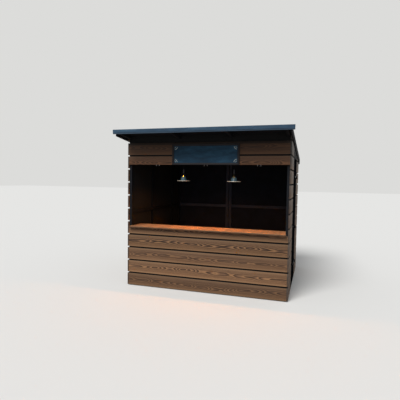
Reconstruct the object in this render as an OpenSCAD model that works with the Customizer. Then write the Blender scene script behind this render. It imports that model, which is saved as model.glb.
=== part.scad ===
// Wooden market hut with a serving counter, a lean-to roof and a side door.
// Sizes are in millimetres. The front faces -Y, the right side +X and up is +Z.
// The origin is on the ground, in the middle of the roof's plan.

/* [Hut] */
// Width over the side boards
hut_w = 2680; // [2400:10:3200]
// Depth over the front and rear boards
hut_d = 2400; // [2240:10:2800]
// Height of the lowest board's edge above the ground
ground_gap = 12; // [5:1:30]

/* [Boards and lining] */
// Height of one cladding board
board_h = 196; // [150:1:215]
// Open groove between two boards
groove = 24; // [8:1:36]
// Thickness of the cladding boards
board_t = 20; // [15:1:28]
// Thickness of the black lining sheet behind the boards
lining_t = 4; // [3:0.5:12]

/* [Frame] */
// Batten width, measured along the wall
batten_w = 58; // [40:1:70]
// Batten depth, measured through the wall
batten_t = 34; // [28:1:50]
// Distance from the front boards to the first post of the left wall
first_post = 880; // [600:10:1000]
// Distance from the front boards to the second post of the left wall
second_post = 1870; // [1500:10:2000]
// Height of the middle rails' centre line
mid_rail_z = 1250; // [1100:10:1500]
// Sideways offset of the rear wall's twin posts from the middle
twin_posts_x = -130; // [-300:5:300]
// Space between the rear wall's twin posts
twin_gap = 14; // [4:1:60]

/* [Floor] */
// Height of the floor bearers
bearer_h = 95; // [70:1:120]
// Width of one floor bearer
bearer_w = 45; // [35:1:70]
// Number of floor bearers
bearer_count = 5; // [3:1:7]
// Thickness of the floor deck
floor_t = 21; // [16:1:30]

/* [Serving opening] */
// Height of the counter's top
counter_z = 1020; // [950:5:1100]
// Thickness of the counter board
counter_t = 24; // [18:1:45]
// How far the counter stands out in front of the boards
counter_front = 50; // [30:1:200]
// Depth of the counter board from front to back
counter_d = 410; // [250:5:500]
// Distance from the side of the hut to each end of the counter
counter_inset = 48; // [44:1:52]
// Height of the band between the opening and the rafters
band_h = 421; // [340:1:480]

/* [Roof] */
// Roof overhang in front of the boards
roof_front = 390; // [200:5:500]
// Roof overhang behind the boards
roof_rear = 60; // [40:1:200]
// Height of the rafters' lower edge at the front of the roof
eave_z = 2516; // [2480:2:2700]
// Fall of the roof for each unit of depth
slope = 0.11; // [0.08:0.01:0.12]
// Depth of the rafters
rafter_h = 54; // [45:1:80]
// Width of one rafter
rafter_w = 45; // [34:1:60]
// Number of rafters
rafter_count = 4; // [3:1:6]
// Thickness of the roof deck
deck_t = 16; // [12:1:24]
// Thickness of the roofing felt
felt_t = 4; // [2:0.5:6]
// Thickness of the fascia and verge boards
fascia_t = 20; // [15:1:28]
// How far the front fascia runs past the side boards
fascia_end = 60; // [40:1:120]
// Strip of fascia left bare below the felt
fascia_lip = 18; // [5:1:30]
// How far the verge boards hang below the rafters
verge_drop = 30; // [10:1:60]

/* [Door] */
// Distance from the front boards to the doorway
door_from = 700; // [640:5:880]
// Width of the doorway
door_w = 810; // [700:5:960]
// Least height of the black head between the door and the rafters
door_head_h = 100; // [60:1:150]
// Gap round the door leaf
door_gap = 6; // [5:0.5:8]
// Thickness of the door's boards
leaf_t = 20; // [16:1:26]
// Thickness of the door's ledges
ledge_t = 24; // [18:1:28]
// Height of one ledge
ledge_h = 120; // [90:1:160]
// How far the ledges stop short of the leaf's edges
ledge_inset = 30; // [20:1:60]
// Distance from each end of the leaf to the hinge and ledge there
hinge_from_end = 310; // [150:5:450]
// Radius of a hinge pin
pin_r = 6; // [4:0.5:8]
// Running gap between a hinge pin and its eye
pin_play = 0.3; // [0.2:0.1:0.6]
// Length of a hinge strap
strap_len = 400; // [250:5:600]
// Height of a hinge strap at its eye
strap_h = 40; // [30:1:60]
// Height of a hinge strap at its round tip
strap_tip_h = 24; // [14:1:30]
// Thickness of the hinge iron
iron_t = 4; // [3:0.5:6]
// Radius of the door knob
knob_r = 26; // [18:1:32]
// Height of the door knob
knob_z = 1050; // [900:10:1200]
// Distance from the leaf's edge to the door knob
knob_from_edge = 70; // [50:5:120]

/* [Sign board] */
// Width of the sign board
sign_w = 1100; // [600:10:1300]
// Height of the sign board
sign_h = 328; // [200:2:330]
// Depth of the sign's frame
sign_t = 24; // [14:1:40]
// Width of the sign's frame strips
sign_strip = 30; // [16:1:50]
// Thickness of the sign's panel
panel_t = 8; // [4:1:12]
// Sideways offset of the sign from the middle
sign_x = 16; // [-60:2:60]
// How far the sign hangs below the opening's head
sign_drop = 2; // [0:1:10]

/* [Lamps and hooks] */
// Distance from the front boards to the lamps
lamp_in = 250; // [240:5:500]
// Height of the shades' rims
lamp_z = 1790; // [1700:5:1850]
// Radius of a shade at its rim
shade_r = 112; // [80:1:150]
// Height of the shade's brim
brim_h = 18; // [15:1:40]
// Radius of the shade's dome
dome_r = 47; // [38:1:60]
// Height of the shade's dome
dome_h = 60; // [30:1:70]
// Thickness of the shade's sheet
shade_t = 1.5; // [1:0.5:3]
// Radius of the lamp holder
holder_r = 20; // [16:1:26]
// Length of the lamp holder
holder_h = 54; // [40:1:80]
// Length of the pale neck above the holder
neck_h = 62; // [30:1:80]
// Radius of the neck
neck_r = 12; // [8:1:15]
// Radius of the stem
stem_r = 4; // [3:0.5:6]
// Thickness of the hooks' wire
hook_wire = 3.6; // [2:0.2:5]
// Radius of a hook's bend
hook_r = 7; // [5:0.5:10]
// Distance between the two hooks of a pair
hook_pair = 50; // [30:1:90]

/* [Hidden] */
$fn = 48;

// Colours
wood_colour = "#7e6147";
side_wood_colour = "#665750";
black_colour = "#1d1d21";
deck_colour = "#6f5a45";
felt_colour = "#35495a";
fascia_colour = "#3e4952";
slate_colour = "#1f252b";
iron_colour = "#2a2a2c";
steel_colour = "silver";
enamel_colour = "#3b4046";

// Plan: x is measured from the middle, y from the front of the roof
side_x = hut_w / 2;
board_in_x = side_x - board_t;
frame_x = board_in_x - lining_t;
room_x = frame_x - batten_t;
roof_front_y = -(roof_front + hut_d + roof_rear) / 2;
front_y = roof_front_y + roof_front;
rear_y = front_y + hut_d;
roof_rear_y = rear_y + roof_rear;
front_frame_y = front_y + board_t + lining_t;
rear_frame_y = rear_y - board_t - lining_t;
verge_x = side_x + fascia_t;
fascia_rear_y = roof_front_y + felt_t + fascia_t;
deck_rear_y = roof_rear_y - fascia_t;

// Heights
pitch = board_h + groove;
floor_z = bearer_h + floor_t;
counter_low = counter_z - counter_t;
deck_rise = rafter_h + deck_t;
function soffit(y) = eave_z - slope * (y - roof_front_y);
opening_top = soffit(front_y) - band_h;
function course_z(i) = ground_gap + i * pitch;
side_courses = ceil((soffit(front_y) + rafter_h - ground_gap) / pitch);
rear_courses = ceil((soffit(rear_y) - ground_gap) / pitch);
last_front_course = floor((soffit(front_y) - ground_gap + groove) / pitch) - 1;
least_rip = 6;

// The outer rafters stand in line with the frame, and the others part the width between them
rafter_end = frame_x - rafter_w / 2;
function rafter_x(i) = -rafter_end + i * 2 * rafter_end / (rafter_count - 1);
lamp_rafter = [1, rafter_count - 2];

// Doorway and door
doorway_y0 = front_y + door_from;
doorway_y1 = doorway_y0 + door_w;
leaf_y0 = doorway_y0 + door_gap;
leaf_y1 = doorway_y1 - door_gap;
door_top = soffit(doorway_y1) - door_head_h;
leaf_low = ground_gap + door_gap;
leaf_top = door_top - door_gap;
low_hinge_z = leaf_low + hinge_from_end;
high_hinge_z = leaf_top - hinge_from_end;
leaf_in_x = side_x - leaf_t;
mid_ledge_z = (low_hinge_z + high_hinge_z) / 2;
eye_r = pin_r + pin_play + iron_t;
eye_off = 2;
bite = 1;
pin_x = side_x + eye_r + eye_off;
pin_y = doorway_y1 - door_gap / 2;

// Hooks, as the middle of each pair
hook_mids = [-796, 26, 868];

// A profile drawn in depth and height, pushed along the width
module across(x0, x1, points) {
    translate([x0, 0, 0])
        rotate([90, 0, 90])
            linear_extrude(x1 - x0)
                polygon(points);
}

// A bar that follows the fall of the roof, between two heights over the rafters' lower edge
module roof_bar(x0, x1, y0, y1, low, high) {
    across(x0, x1, [
        [y0, soffit(y0) + low], [y1, soffit(y1) + low],
        [y1, soffit(y1) + high], [y0, soffit(y0) + high]
    ]);
}

// A piece with a level foot and a top cut to the fall of the roof
module under_roof(x0, x1, y0, y1, foot, high) {
    across(x0, x1, [
        [y0, foot], [y1, foot],
        [y1, soffit(y1) + high], [y0, soffit(y0) + high]
    ]);
}

module block(x0, x1, y0, y1, z0, z1) {
    translate([x0, y0, z0])
        cube([x1 - x0, y1 - y0, z1 - z0]);
}

// Boards on a side wall, from the ground up to the roof deck
module side_boards(x0, y0, y1) {
    color(side_wood_colour)
        intersection() {
            under_roof(x0, x0 + board_t, y0, y1, 0, rafter_h);
            for (i = [0:side_courses - 1])
                block(x0, x0 + board_t, y0, y1, course_z(i), course_z(i) + board_h);
        }
}

// Lining sheet of the front or rear wall, with tabs that close the spaces between the rafters
module cross_lining(y0, foot) {
    y1 = y0 + lining_t;
    color(black_colour) {
        under_roof(-board_in_x, board_in_x, y0, y1, foot, 0);
        for (i = [0:rafter_count - 2])
            under_roof(
                rafter_x(i) + rafter_w / 2, rafter_x(i + 1) - rafter_w / 2,
                y0, y1, foot, rafter_h
            );
    }
}

module floor_bearers() {
    step = (2 * frame_x - bearer_w) / (bearer_count - 1);
    color(deck_colour)
        for (i = [0:bearer_count - 1])
            translate([i * step, 0, 0])
                block(-frame_x, -frame_x + bearer_w, front_frame_y, rear_frame_y, 0, bearer_h);
}

module floor_deck() {
    color(deck_colour)
        block(-frame_x, frame_x, front_frame_y, rear_frame_y, bearer_h, floor_z);
}

// A post of a side wall, up to the wall's top plate
module side_post(x0, y0) {
    under_roof(x0, x0 + batten_t, y0, y0 + batten_w, floor_z, -batten_t);
}

module left_wall_posts() {
    color(black_colour)
        for (y = [
            front_frame_y, front_y + first_post,
            front_y + second_post, rear_frame_y - batten_w
        ])
            side_post(-frame_x, y);
}

module front_right_post() {
    color(black_colour)
        side_post(room_x, front_frame_y);
}

// Corner post on the door's side, and the twin posts in the middle
module rear_wall_posts() {
    y0 = rear_frame_y - batten_t;
    color(black_colour) {
        side_post(room_x, rear_frame_y - batten_w);
        for (x = [-batten_w - twin_gap / 2, twin_gap / 2])
            translate([twin_posts_x + x, 0, 0])
                block(0, batten_w, y0, rear_frame_y, floor_z, rear_plate_low);
    }
}

rear_plate_low = soffit(rear_frame_y) - batten_w;

// Top plate under the rafters, and the rail at the head of the opening
module front_head_rails() {
    y1 = front_frame_y + batten_t;
    color(black_colour) {
        under_roof(-room_x, room_x, front_frame_y, y1, soffit(y1) - batten_w, 0);
        block(-room_x, room_x, front_frame_y, y1, opening_top, opening_top + batten_w);
    }
}

// Rail under the counter, on two studs
module counter_frame() {
    y1 = front_frame_y + batten_t;
    stud_x = room_x / 3;
    color(black_colour) {
        block(-room_x, room_x, front_frame_y, y1, counter_low - batten_w, counter_low);
        for (x = [-stud_x, stud_x])
            block(
                x - batten_w / 2, x + batten_w / 2,
                front_frame_y, y1, floor_z, counter_low - batten_w
            );
    }
}

// Sloping top plate, and a middle rail between each two posts
module left_wall_rails() {
    z0 = mid_rail_z - batten_w / 2;
    starts = [front_frame_y, front_y + first_post, front_y + second_post];
    ends = [front_y + first_post, front_y + second_post, rear_frame_y - batten_w];
    color(black_colour) {
        roof_bar(-frame_x, -room_x, front_frame_y, rear_frame_y, -batten_t, 0);
        for (i = [0:2])
            block(-frame_x, -room_x, starts[i] + batten_w, ends[i], z0, z0 + batten_w);
    }
}

// Top plate, and a middle rail on each side of the twin posts
module rear_wall_rails() {
    y0 = rear_frame_y - batten_t;
    z0 = mid_rail_z - batten_w / 2;
    twin_half = batten_w + twin_gap / 2;
    color(black_colour) {
        under_roof(-room_x, room_x, y0, rear_frame_y, rear_plate_low, 0);
        block(-room_x, twin_posts_x - twin_half, y0, rear_frame_y, z0, z0 + batten_w);
        block(twin_posts_x + twin_half, room_x, y0, rear_frame_y, z0, z0 + batten_w);
    }
}

module right_top_plate() {
    color(black_colour)
        roof_bar(room_x, frame_x, front_frame_y, rear_frame_y, -batten_t, 0);
}

module front_lower_lining() {
    color(black_colour)
        block(
            -board_in_x, board_in_x, front_y + board_t, front_frame_y,
            ground_gap, counter_low
        );
}

module front_upper_lining() {
    cross_lining(front_y + board_t, opening_top);
}

module left_lining() {
    color(black_colour)
        under_roof(
            -board_in_x, -frame_x, front_frame_y, rear_frame_y, ground_gap, rafter_h
        );
}

module rear_lining() {
    cross_lining(rear_frame_y, ground_gap);
}

module right_front_lining() {
    color(black_colour)
        under_roof(
            frame_x, board_in_x, front_frame_y, doorway_y0 - batten_w, ground_gap, rafter_h
        );
}

module right_rear_lining() {
    color(black_colour)
        under_roof(
            frame_x, board_in_x, doorway_y1 + batten_w, rear_frame_y, ground_gap, rafter_h
        );
}

// Courses from the ground to the counter, the top one ripped to fit under it
module front_lower_boards() {
    color(wood_colour)
        for (i = [0:side_courses])
            if (course_z(i) + least_rip < counter_low)
                block(
                    -board_in_x, board_in_x, front_y, front_y + board_t,
                    course_z(i), min(course_z(i) + board_h, counter_low)
                );
}

// Courses above the opening, the lowest one ripped to its head
module front_upper_boards() {
    color(wood_colour)
        for (i = [0:last_front_course])
            if (course_z(i) + board_h > opening_top + least_rip)
                block(
                    -board_in_x, board_in_x, front_y, front_y + board_t,
                    max(course_z(i), opening_top), course_z(i) + board_h
                );
}

module left_boards() {
    side_boards(-side_x, front_y, rear_y);
}

module rear_boards() {
    y0 = rear_y - board_t;
    color(side_wood_colour)
        intersection() {
            under_roof(-board_in_x, board_in_x, y0, rear_y, 0, 0);
            for (i = [0:rear_courses - 1])
                block(-board_in_x, board_in_x, y0, rear_y, course_z(i), course_z(i) + board_h);
        }
}

module right_front_boards() {
    side_boards(board_in_x, front_y, doorway_y0 - batten_w);
}

module right_rear_boards() {
    side_boards(board_in_x, doorway_y1 + batten_w, rear_y);
}

// A jamb stands on the floor and laps down over its edge outside
module jamb(y0) {
    color(black_colour) {
        under_roof(room_x, frame_x, y0, y0 + batten_w, floor_z, -batten_t);
        under_roof(frame_x, side_x, y0, y0 + batten_w, ground_gap, rafter_h);
    }
}

module door_front_jamb() {
    jamb(doorway_y0 - batten_w);
}

module door_rear_jamb() {
    jamb(doorway_y1);
}

module door_head() {
    color(black_colour)
        under_roof(frame_x, side_x, doorway_y0, doorway_y1, door_top, rafter_h);
}

// Plate, lug and upright pin of each hinge, on the rear jamb
module hinge_pins() {
    lug_h = 14;
    plate_h = strap_h + 2 * lug_h;
    plate_y = pin_y + eye_r + eye_off;
    color(iron_colour)
        for (z = [low_hinge_z, high_hinge_z]) {
            lug_top = z - strap_h / 2 - eye_off / 2;
            block(
                side_x, side_x + iron_t, plate_y, doorway_y1 + batten_w,
                z - plate_h / 2, z + plate_h / 2
            );
            block(
                side_x, pin_x, pin_y, plate_y + iron_t,
                lug_top - lug_h, lug_top
            );
            translate([pin_x, pin_y, lug_top - lug_h])
                cylinder(r = eye_r, h = lug_h);
            translate([pin_x, pin_y, lug_top - lug_h])
                cylinder(r = pin_r, h = lug_h + strap_h + eye_off);
        }
}

module door_leaf() {
    color(black_colour)
        block(leaf_in_x, side_x, leaf_y0, leaf_y1, leaf_low, leaf_top);
}

module door_ledges() {
    color(black_colour)
        for (z = [low_hinge_z, mid_ledge_z, high_hinge_z])
            block(
                leaf_in_x - ledge_t, leaf_in_x,
                leaf_y0 + ledge_inset, leaf_y1 - ledge_inset,
                z - ledge_h / 2, z + ledge_h / 2
            );
}

// Strap on the leaf, drawn out from the eye round the pin to a round tip
module hinge_straps() {
    tip_r = strap_tip_h / 2;
    tip_y = leaf_y1 - strap_len + tip_r;
    color(iron_colour)
        for (z = [low_hinge_z, high_hinge_z])
            translate([0, 0, z])
                difference() {
                    union() {
                        across(side_x, side_x + iron_t, [
                            [tip_y, -tip_r], [pin_y, -strap_h / 2],
                            [pin_y, strap_h / 2], [tip_y, tip_r]
                        ]);
                        translate([side_x, tip_y, 0])
                            rotate([0, 90, 0])
                                cylinder(r = tip_r, h = iron_t);
                        translate([pin_x, pin_y, -strap_h / 2])
                            cylinder(r = eye_r, h = strap_h);
                    }
                    translate([pin_x, pin_y, -strap_h / 2 - bite])
                        cylinder(r = pin_r + pin_play, h = strap_h + 2 * bite);
                }
}

// Round knob on a rose
module door_knob() {
    knob_len = 2 * knob_r;
    stem_r = knob_r / 3;
    rose_t = iron_t * 1.5;
    color(iron_colour)
        translate([side_x, leaf_y0 + knob_from_edge, knob_z])
            rotate([0, 90, 0])
                rotate_extrude()
                    polygon([
                        [0, 0], [knob_r, 0], [knob_r, iron_t], [stem_r, rose_t],
                        [stem_r, knob_len / 2], [knob_r * 0.8, knob_len * 0.6],
                        [knob_r, knob_len * 0.75], [knob_r * 0.8, knob_len * 0.92],
                        [knob_r * 0.4, knob_len], [0, knob_len]
                    ]);
}

// The counter laps in front of the corner posts and is narrower between them
module counter_board() {
    end_x = side_x - counter_inset;
    counter_y = front_y - counter_front;
    color(wood_colour) {
        block(-end_x, end_x, counter_y, front_frame_y, counter_low, counter_z);
        block(-room_x, room_x, counter_y, counter_y + counter_d, counter_low, counter_z);
    }
}

module rafters() {
    color(black_colour)
        for (i = [0:rafter_count - 1])
            roof_bar(
                rafter_x(i) - rafter_w / 2, rafter_x(i) + rafter_w / 2,
                fascia_rear_y, deck_rear_y, 0, rafter_h
            );
}

module roof_deck() {
    color(black_colour)
        roof_bar(-side_x, side_x, fascia_rear_y, deck_rear_y, rafter_h, deck_rise);
}

// Felt over the deck, folded down over the front fascia
module roof_felt() {
    fascia_x = side_x + fascia_end;
    fold_low = eave_z + fascia_lip;
    color(felt_colour) {
        roof_bar(-verge_x, verge_x, roof_front_y, roof_rear_y, deck_rise, deck_rise + felt_t);
        across(-fascia_x, fascia_x, [
            [roof_front_y, fold_low],
            [roof_front_y + felt_t, fold_low],
            [roof_front_y + felt_t, soffit(roof_front_y + felt_t) + deck_rise],
            [fascia_rear_y, soffit(fascia_rear_y) + deck_rise],
            [fascia_rear_y, soffit(fascia_rear_y) + deck_rise + felt_t],
            [roof_front_y, soffit(roof_front_y) + deck_rise + felt_t]
        ]);
    }
}

module front_fascia() {
    color(fascia_colour)
        under_roof(
            -side_x - fascia_end, side_x + fascia_end,
            roof_front_y + felt_t, fascia_rear_y, eave_z, deck_rise
        );
}

module rear_fascia() {
    color(black_colour)
        under_roof(-verge_x, verge_x, deck_rear_y, roof_rear_y, soffit(roof_rear_y), deck_rise);
}

module left_verge_board() {
    color(black_colour)
        roof_bar(-verge_x, -side_x, fascia_rear_y, deck_rear_y, -verge_drop, deck_rise);
}

module right_verge_board() {
    color(black_colour)
        roof_bar(side_x, verge_x, fascia_rear_y, deck_rear_y, -verge_drop, deck_rise);
}

// The sign hangs on the boards over the opening
sign_low = opening_top - sign_drop;

module sign_panel() {
    color(slate_colour)
        block(
            sign_x - sign_w / 2 + sign_strip, sign_x + sign_w / 2 - sign_strip,
            front_y - sign_t / 2, front_y - sign_t / 2 + panel_t,
            sign_low + sign_strip, sign_low + sign_h - sign_strip
        );
}

module sign_frame() {
    color("#3a2a22")
        translate([sign_x, front_y, sign_low + sign_h / 2])
            rotate([90, 0, 0])
                linear_extrude(sign_t)
                    difference() {
                        square([sign_w, sign_h], center = true);
                        square([sign_w - 2 * sign_strip, sign_h - 2 * sign_strip], center = true);
                    }
}

// A shank in the edge of the boards, and a bend that opens to the front
module hook() {
    shank = 2 * hook_r;
    translate([0, 0, -shank])
        cylinder(d = hook_wire, h = shank);
    translate([0, -hook_r, -shank])
        rotate([0, 90, 0])
            rotate([0, 0, -90])
                rotate_extrude(angle = 180)
                    translate([hook_r, 0])
                        circle(d = hook_wire);
}

module opening_hooks() {
    color(steel_colour)
        for (x = hook_mids, side = [-0.5, 0.5])
            translate([x + side * hook_pair, front_y + board_t / 2, opening_top])
                hook();
}

// Pressed shade: a wide brim under a round dome, open at the top for the holder
module lamp_shade(x) {
    crease = dome_r / 6;
    brim = [[shade_r, 0], [dome_r + crease, brim_h - crease / 2]];
    dome = [for (a = [0:10:80]) [
        holder_r + (dome_r - holder_r) * cos(a), brim_h + dome_h * sin(a)
    ]];
    outer = concat(brim, dome, [[holder_r, brim_h + dome_h]]);
    inner = [for (i = [len(outer) - 1:-1:0]) [
        max(outer[i][0] - (i < 2 ? 0 : shade_t), holder_r), outer[i][1] - shade_t
    ]];
    color(enamel_colour)
        translate([x, front_y + lamp_in, lamp_z + shade_t])
            rotate_extrude()
                polygon(concat(outer, inner));
}

// Holder, pale neck and stem in one, with a rose against the rafter
module lamp_fitting(x) {
    y = front_y + lamp_in;
    foot = lamp_z + shade_t + brim_h + dome_h;
    rose_r = rafter_w * 0.48;
    rose_h = holder_r;
    flange_h = holder_r / 5;
    color(iron_colour)
        intersection() {
            across(x - rafter_w, x + rafter_w, [
                [y - rafter_w, lamp_z], [y + rafter_w, lamp_z],
                [y + rafter_w, soffit(y + rafter_w)], [y - rafter_w, soffit(y - rafter_w)]
            ]);
            translate([x, y, 0])
                union() {
                    translate([0, 0, foot])
                        cylinder(r = holder_r + flange_h, h = flange_h);
                    translate([0, 0, foot])
                        cylinder(r = holder_r, h = holder_h);
                    translate([0, 0, foot + holder_h])
                        cylinder(r = neck_r, h = neck_h);
                    translate([0, 0, foot + holder_h])
                        cylinder(r = stem_r, h = eave_z - foot - holder_h);
                    translate([0, 0, soffit(y) - rose_h])
                        cylinder(r = rose_r, h = 2 * rose_h);
                }
        }
}

module left_lamp_shade() {
    lamp_shade(rafter_x(lamp_rafter[0]));
}

module right_lamp_shade() {
    lamp_shade(rafter_x(lamp_rafter[1]));
}

module left_lamp_fitting() {
    lamp_fitting(rafter_x(lamp_rafter[0]));
}

module right_lamp_fitting() {
    lamp_fitting(rafter_x(lamp_rafter[1]));
}

floor_bearers();
floor_deck();
left_wall_posts();
front_right_post();
rear_wall_posts();
front_head_rails();
counter_frame();
left_wall_rails();
rear_wall_rails();
right_top_plate();
front_lower_lining();
front_upper_lining();
left_lining();
rear_lining();
right_front_lining();
right_rear_lining();
front_lower_boards();
front_upper_boards();
left_boards();
rear_boards();
right_front_boards();
right_rear_boards();
door_front_jamb();
door_rear_jamb();
door_head();
hinge_pins();
door_leaf();
door_ledges();
hinge_straps();
door_knob();
counter_board();
rafters();
roof_deck();
roof_felt();
front_fascia();
rear_fascia();
left_verge_board();
right_verge_board();
sign_panel();
sign_frame();
opening_hooks();
left_lamp_shade();
right_lamp_shade();
left_lamp_fitting();
right_lamp_fitting();
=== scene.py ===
import math
from types import SimpleNamespace

import bpy
from mathutils import Matrix, Vector


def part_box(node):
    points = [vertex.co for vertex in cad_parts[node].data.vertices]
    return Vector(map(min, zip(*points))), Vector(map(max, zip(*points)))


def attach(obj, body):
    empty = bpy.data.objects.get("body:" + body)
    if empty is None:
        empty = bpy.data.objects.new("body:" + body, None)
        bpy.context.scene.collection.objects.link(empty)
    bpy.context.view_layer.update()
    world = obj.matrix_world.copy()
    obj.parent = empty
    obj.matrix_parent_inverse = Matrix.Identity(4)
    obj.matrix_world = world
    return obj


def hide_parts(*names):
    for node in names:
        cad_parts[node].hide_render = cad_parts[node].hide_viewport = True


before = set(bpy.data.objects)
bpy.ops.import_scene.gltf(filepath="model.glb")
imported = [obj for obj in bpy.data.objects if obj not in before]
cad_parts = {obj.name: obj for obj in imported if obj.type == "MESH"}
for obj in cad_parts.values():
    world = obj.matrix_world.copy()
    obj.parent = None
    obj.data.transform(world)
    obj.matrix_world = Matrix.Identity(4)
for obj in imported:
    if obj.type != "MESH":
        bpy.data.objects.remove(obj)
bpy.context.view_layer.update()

# The photograph's view, solved from the board lines and the corners of the hut, with its turns in radians
# and its lens and sensor in millimetres
CAMERA_PLACE = (1.6723, -6.5479, 1.8117)
CAMERA_YAW = 0.3042
CAMERA_PITCH = -0.0550
CAMERA_ROLL = 0.0152
CAMERA_LENS = 32.743
SENSOR_WIDTH = 36.0

# How much plane and sandpaper take off the edges, in metres, as all sizes here are
BOARD_EASE = 0.0015
TIMBER_EASE = 0.002
COUNTER_EASE = 0.004
FLOOR_EASE = 0.001
ROOF_EASE = 0.0015
DOOR_EASE = 0.003
LEDGE_EASE = 0.004
SIGN_EASE = 0.002
IRON_EASE = 0.0008

# Screws and planks, which the frame doesn't hold, and the thickness of the straps
SCREW_HEAD = 0.0045
SCREW_HEAD_T = 0.002
SCREW_RIM = SCREW_HEAD * 0.55
SCREW_RECESS = 0.0012
SCREW_PROUD = 0.0005
SCREW_FROM_EDGE = 0.032
STRAP_T = 0.004
STRAP_SCREWS = (0.08, 0.30, 0.52, 0.74)
FLOOR_PLANK = 0.095
FLOOR_JOINT = 0.002
ROOF_PLANK = 0.120
ROOF_JOINT = 0.003
DOOR_PLANK_COUNT = 8
DOOR_JOINT = 0.002

# Felt, whose outer face stays an inset under that of the frame
FELT_T = 0.003
FELT_INSET = 0.0005
FELT_LAP = 0.080
FELT_CLIMB = 0.020
FELT_CORNER = 0.006
FELT_SHEETS = 3

# Chalk: radius and width of the strokes in each corner, and how far they keep from its sides
CHALK_STROKES = ((0.030, 0.007), (0.054, 0.010))
CHALK_T = 0.0004
CHALK_MARGIN_DEGREES = 8

# Radii and heights of the lamps and hooks
SHADE_SHEET = 0.0012
SHADE_BEAD = 0.004
SHADE_INSET = 0.0005
SHADE_DOME = 0.047
SHADE_BRIM = 0.0195
BULB = 0.025
BULB_SOCKET = 0.013
BULB_TIP = 0.004
BULB_OVER_RIM = 0.012
BULB_UNDER_CROWN = 0.002
HOLDER = 0.020
HOLDER_LENGTH = 0.054
HOLDER_LIFT = 0.0002
PIPE = 0.012
PIPE_LENGTH = 0.062
STEM = 0.004
ROSE = 0.020
HOOK_SHANK = 0.002
HOOK_COLLAR = 0.007
HOOK_COLLAR_T = 0.004

# Painted shade under the eaves: how high the dark strip right under the roof is, the height over which
# the sides are painted in its shadow, what share of its tone the wood keeps in each, and how sharply or
# softly it sets in
UNDER_EAVES = 0.034
SIDE_SHADOW = 2.12
BAND_SHADE_SHARE = 0.48
EAVES_STRIP_SHADE_SHARE = 0.25
SIDE_SHADE_SHARE = 0.30
SHARP = 0.004
SOFT = 0.15

# What counts as touching, and a start well outside the hut for a look back at it
TOUCH = 0.0001
WELL_OUTSIDE = 3.0


def clear_selection():
    """Deselects everything, because an operator acts on all that is selected."""
    if bpy.context.object and bpy.context.object.mode != "OBJECT":
        bpy.ops.object.mode_set(mode="OBJECT")
    bpy.ops.object.select_all(action="DESELECT")


def activate(piece):
    """Makes one piece the selected and active one."""
    clear_selection()
    piece.select_set(True)
    bpy.context.view_layer.objects.active = piece


def pick(piece, kind, test):
    """Opens edit mode with only the faces, edges or vertices selected that pass the test."""
    activate(piece)
    bpy.ops.object.mode_set(mode="EDIT")
    bpy.ops.mesh.select_mode(type=kind)
    bpy.ops.mesh.select_all(action="DESELECT")
    bpy.ops.object.mode_set(mode="OBJECT")
    mesh = piece.data
    if kind == "FACE":
        for face in mesh.polygons:
            face.select = test(face.center, face.normal)
    if kind == "EDGE":
        for edge in mesh.edges:
            ends = [mesh.vertices[i].co for i in edge.vertices]
            edge.select = test(ends[0], ends[1])
    if kind == "VERT":
        for vertex in mesh.vertices:
            vertex.select = test(vertex.co)
    bpy.ops.object.mode_set(mode="EDIT")


def bar(name, low, high):
    """A square bar between two corners, as a start for shaping."""
    low, high = Vector(low), Vector(high)
    clear_selection()
    bpy.ops.mesh.primitive_cube_add(size=1, location=(low + high) / 2, scale=high - low)
    piece = bpy.context.object
    piece.name = name
    bpy.ops.object.transform_apply(location=True, rotation=True, scale=True)
    return piece


def round_edges(piece, width, segments=2):
    """Takes the sharpness off all edges, as a plane and sandpaper do."""
    activate(piece)
    ease = piece.modifiers.new("ease", "BEVEL")
    ease.width = width
    ease.segments = segments
    ease.limit_method = "ANGLE"
    ease.angle_limit = math.radians(30)
    bpy.ops.object.modifier_apply(modifier=ease.name)
    return piece


def smooth(piece, angle=35):
    """Shades a piece smooth, apart from edges sharper than the angle."""
    activate(piece)
    bpy.ops.object.shade_smooth_by_angle(angle=math.radians(angle))
    return piece


def turn(piece, angle, axis, centre):
    """Turns a piece about a point and leaves its object unturned at the origin."""
    there = Matrix.Translation(Vector(centre))
    activate(piece)
    piece.matrix_world = there @ Matrix.Rotation(angle, 4, axis) @ there.inverted() @ piece.matrix_world
    bpy.ops.object.transform_apply(location=True, rotation=True, scale=True)
    return piece


def copy_of(piece, name, place=(0, 0, 0)):
    """A copy with its own mesh, moved to its place."""
    twin = bpy.data.objects.new(name, piece.data.copy())
    bpy.context.scene.collection.objects.link(twin)
    twin.data.transform(Matrix.Translation(place))
    return twin


def joined(parts, name):
    """Makes one piece of several."""
    clear_selection()
    for part in parts:
        part.select_set(True)
    bpy.context.view_layer.objects.active = parts[0]
    if len(parts) > 1:
        bpy.ops.object.join()
    parts[0].name = name
    parts[0].data.name = name
    return parts[0]


def merged_copy(node, name):
    """A copy of a frame node with its loose triangles merged into plain flat faces."""
    piece = bpy.data.objects.new(name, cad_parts[node].data.copy())
    bpy.context.scene.collection.objects.link(piece)
    piece.data.materials.clear()
    activate(piece)
    bpy.ops.object.mode_set(mode="EDIT")
    bpy.ops.mesh.select_all(action="SELECT")
    bpy.ops.mesh.remove_doubles(threshold=0.00001)
    bpy.ops.mesh.dissolve_limited(angle_limit=math.radians(1))
    bpy.ops.object.mode_set(mode="OBJECT")
    return piece


def corners(piece):
    """Lowest and highest corner of a mesh."""
    places = [vertex.co for vertex in piece.data.vertices]
    low = Vector([min(place[i] for place in places) for i in range(3)])
    high = Vector([max(place[i] for place in places) for i in range(3)])
    return low, high


def solids(node):
    """Lowest and highest corner of each separate solid in a frame node, from the lowest up."""
    activate(merged_copy(node, "measured"))
    bpy.ops.mesh.separate(type="LOOSE")
    parts = list(bpy.context.selected_objects)
    boxes = sorted((corners(part) for part in parts), key=lambda box: tuple(box[0].zxy))
    for part in parts:
        bpy.data.objects.remove(part)
    return boxes


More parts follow.
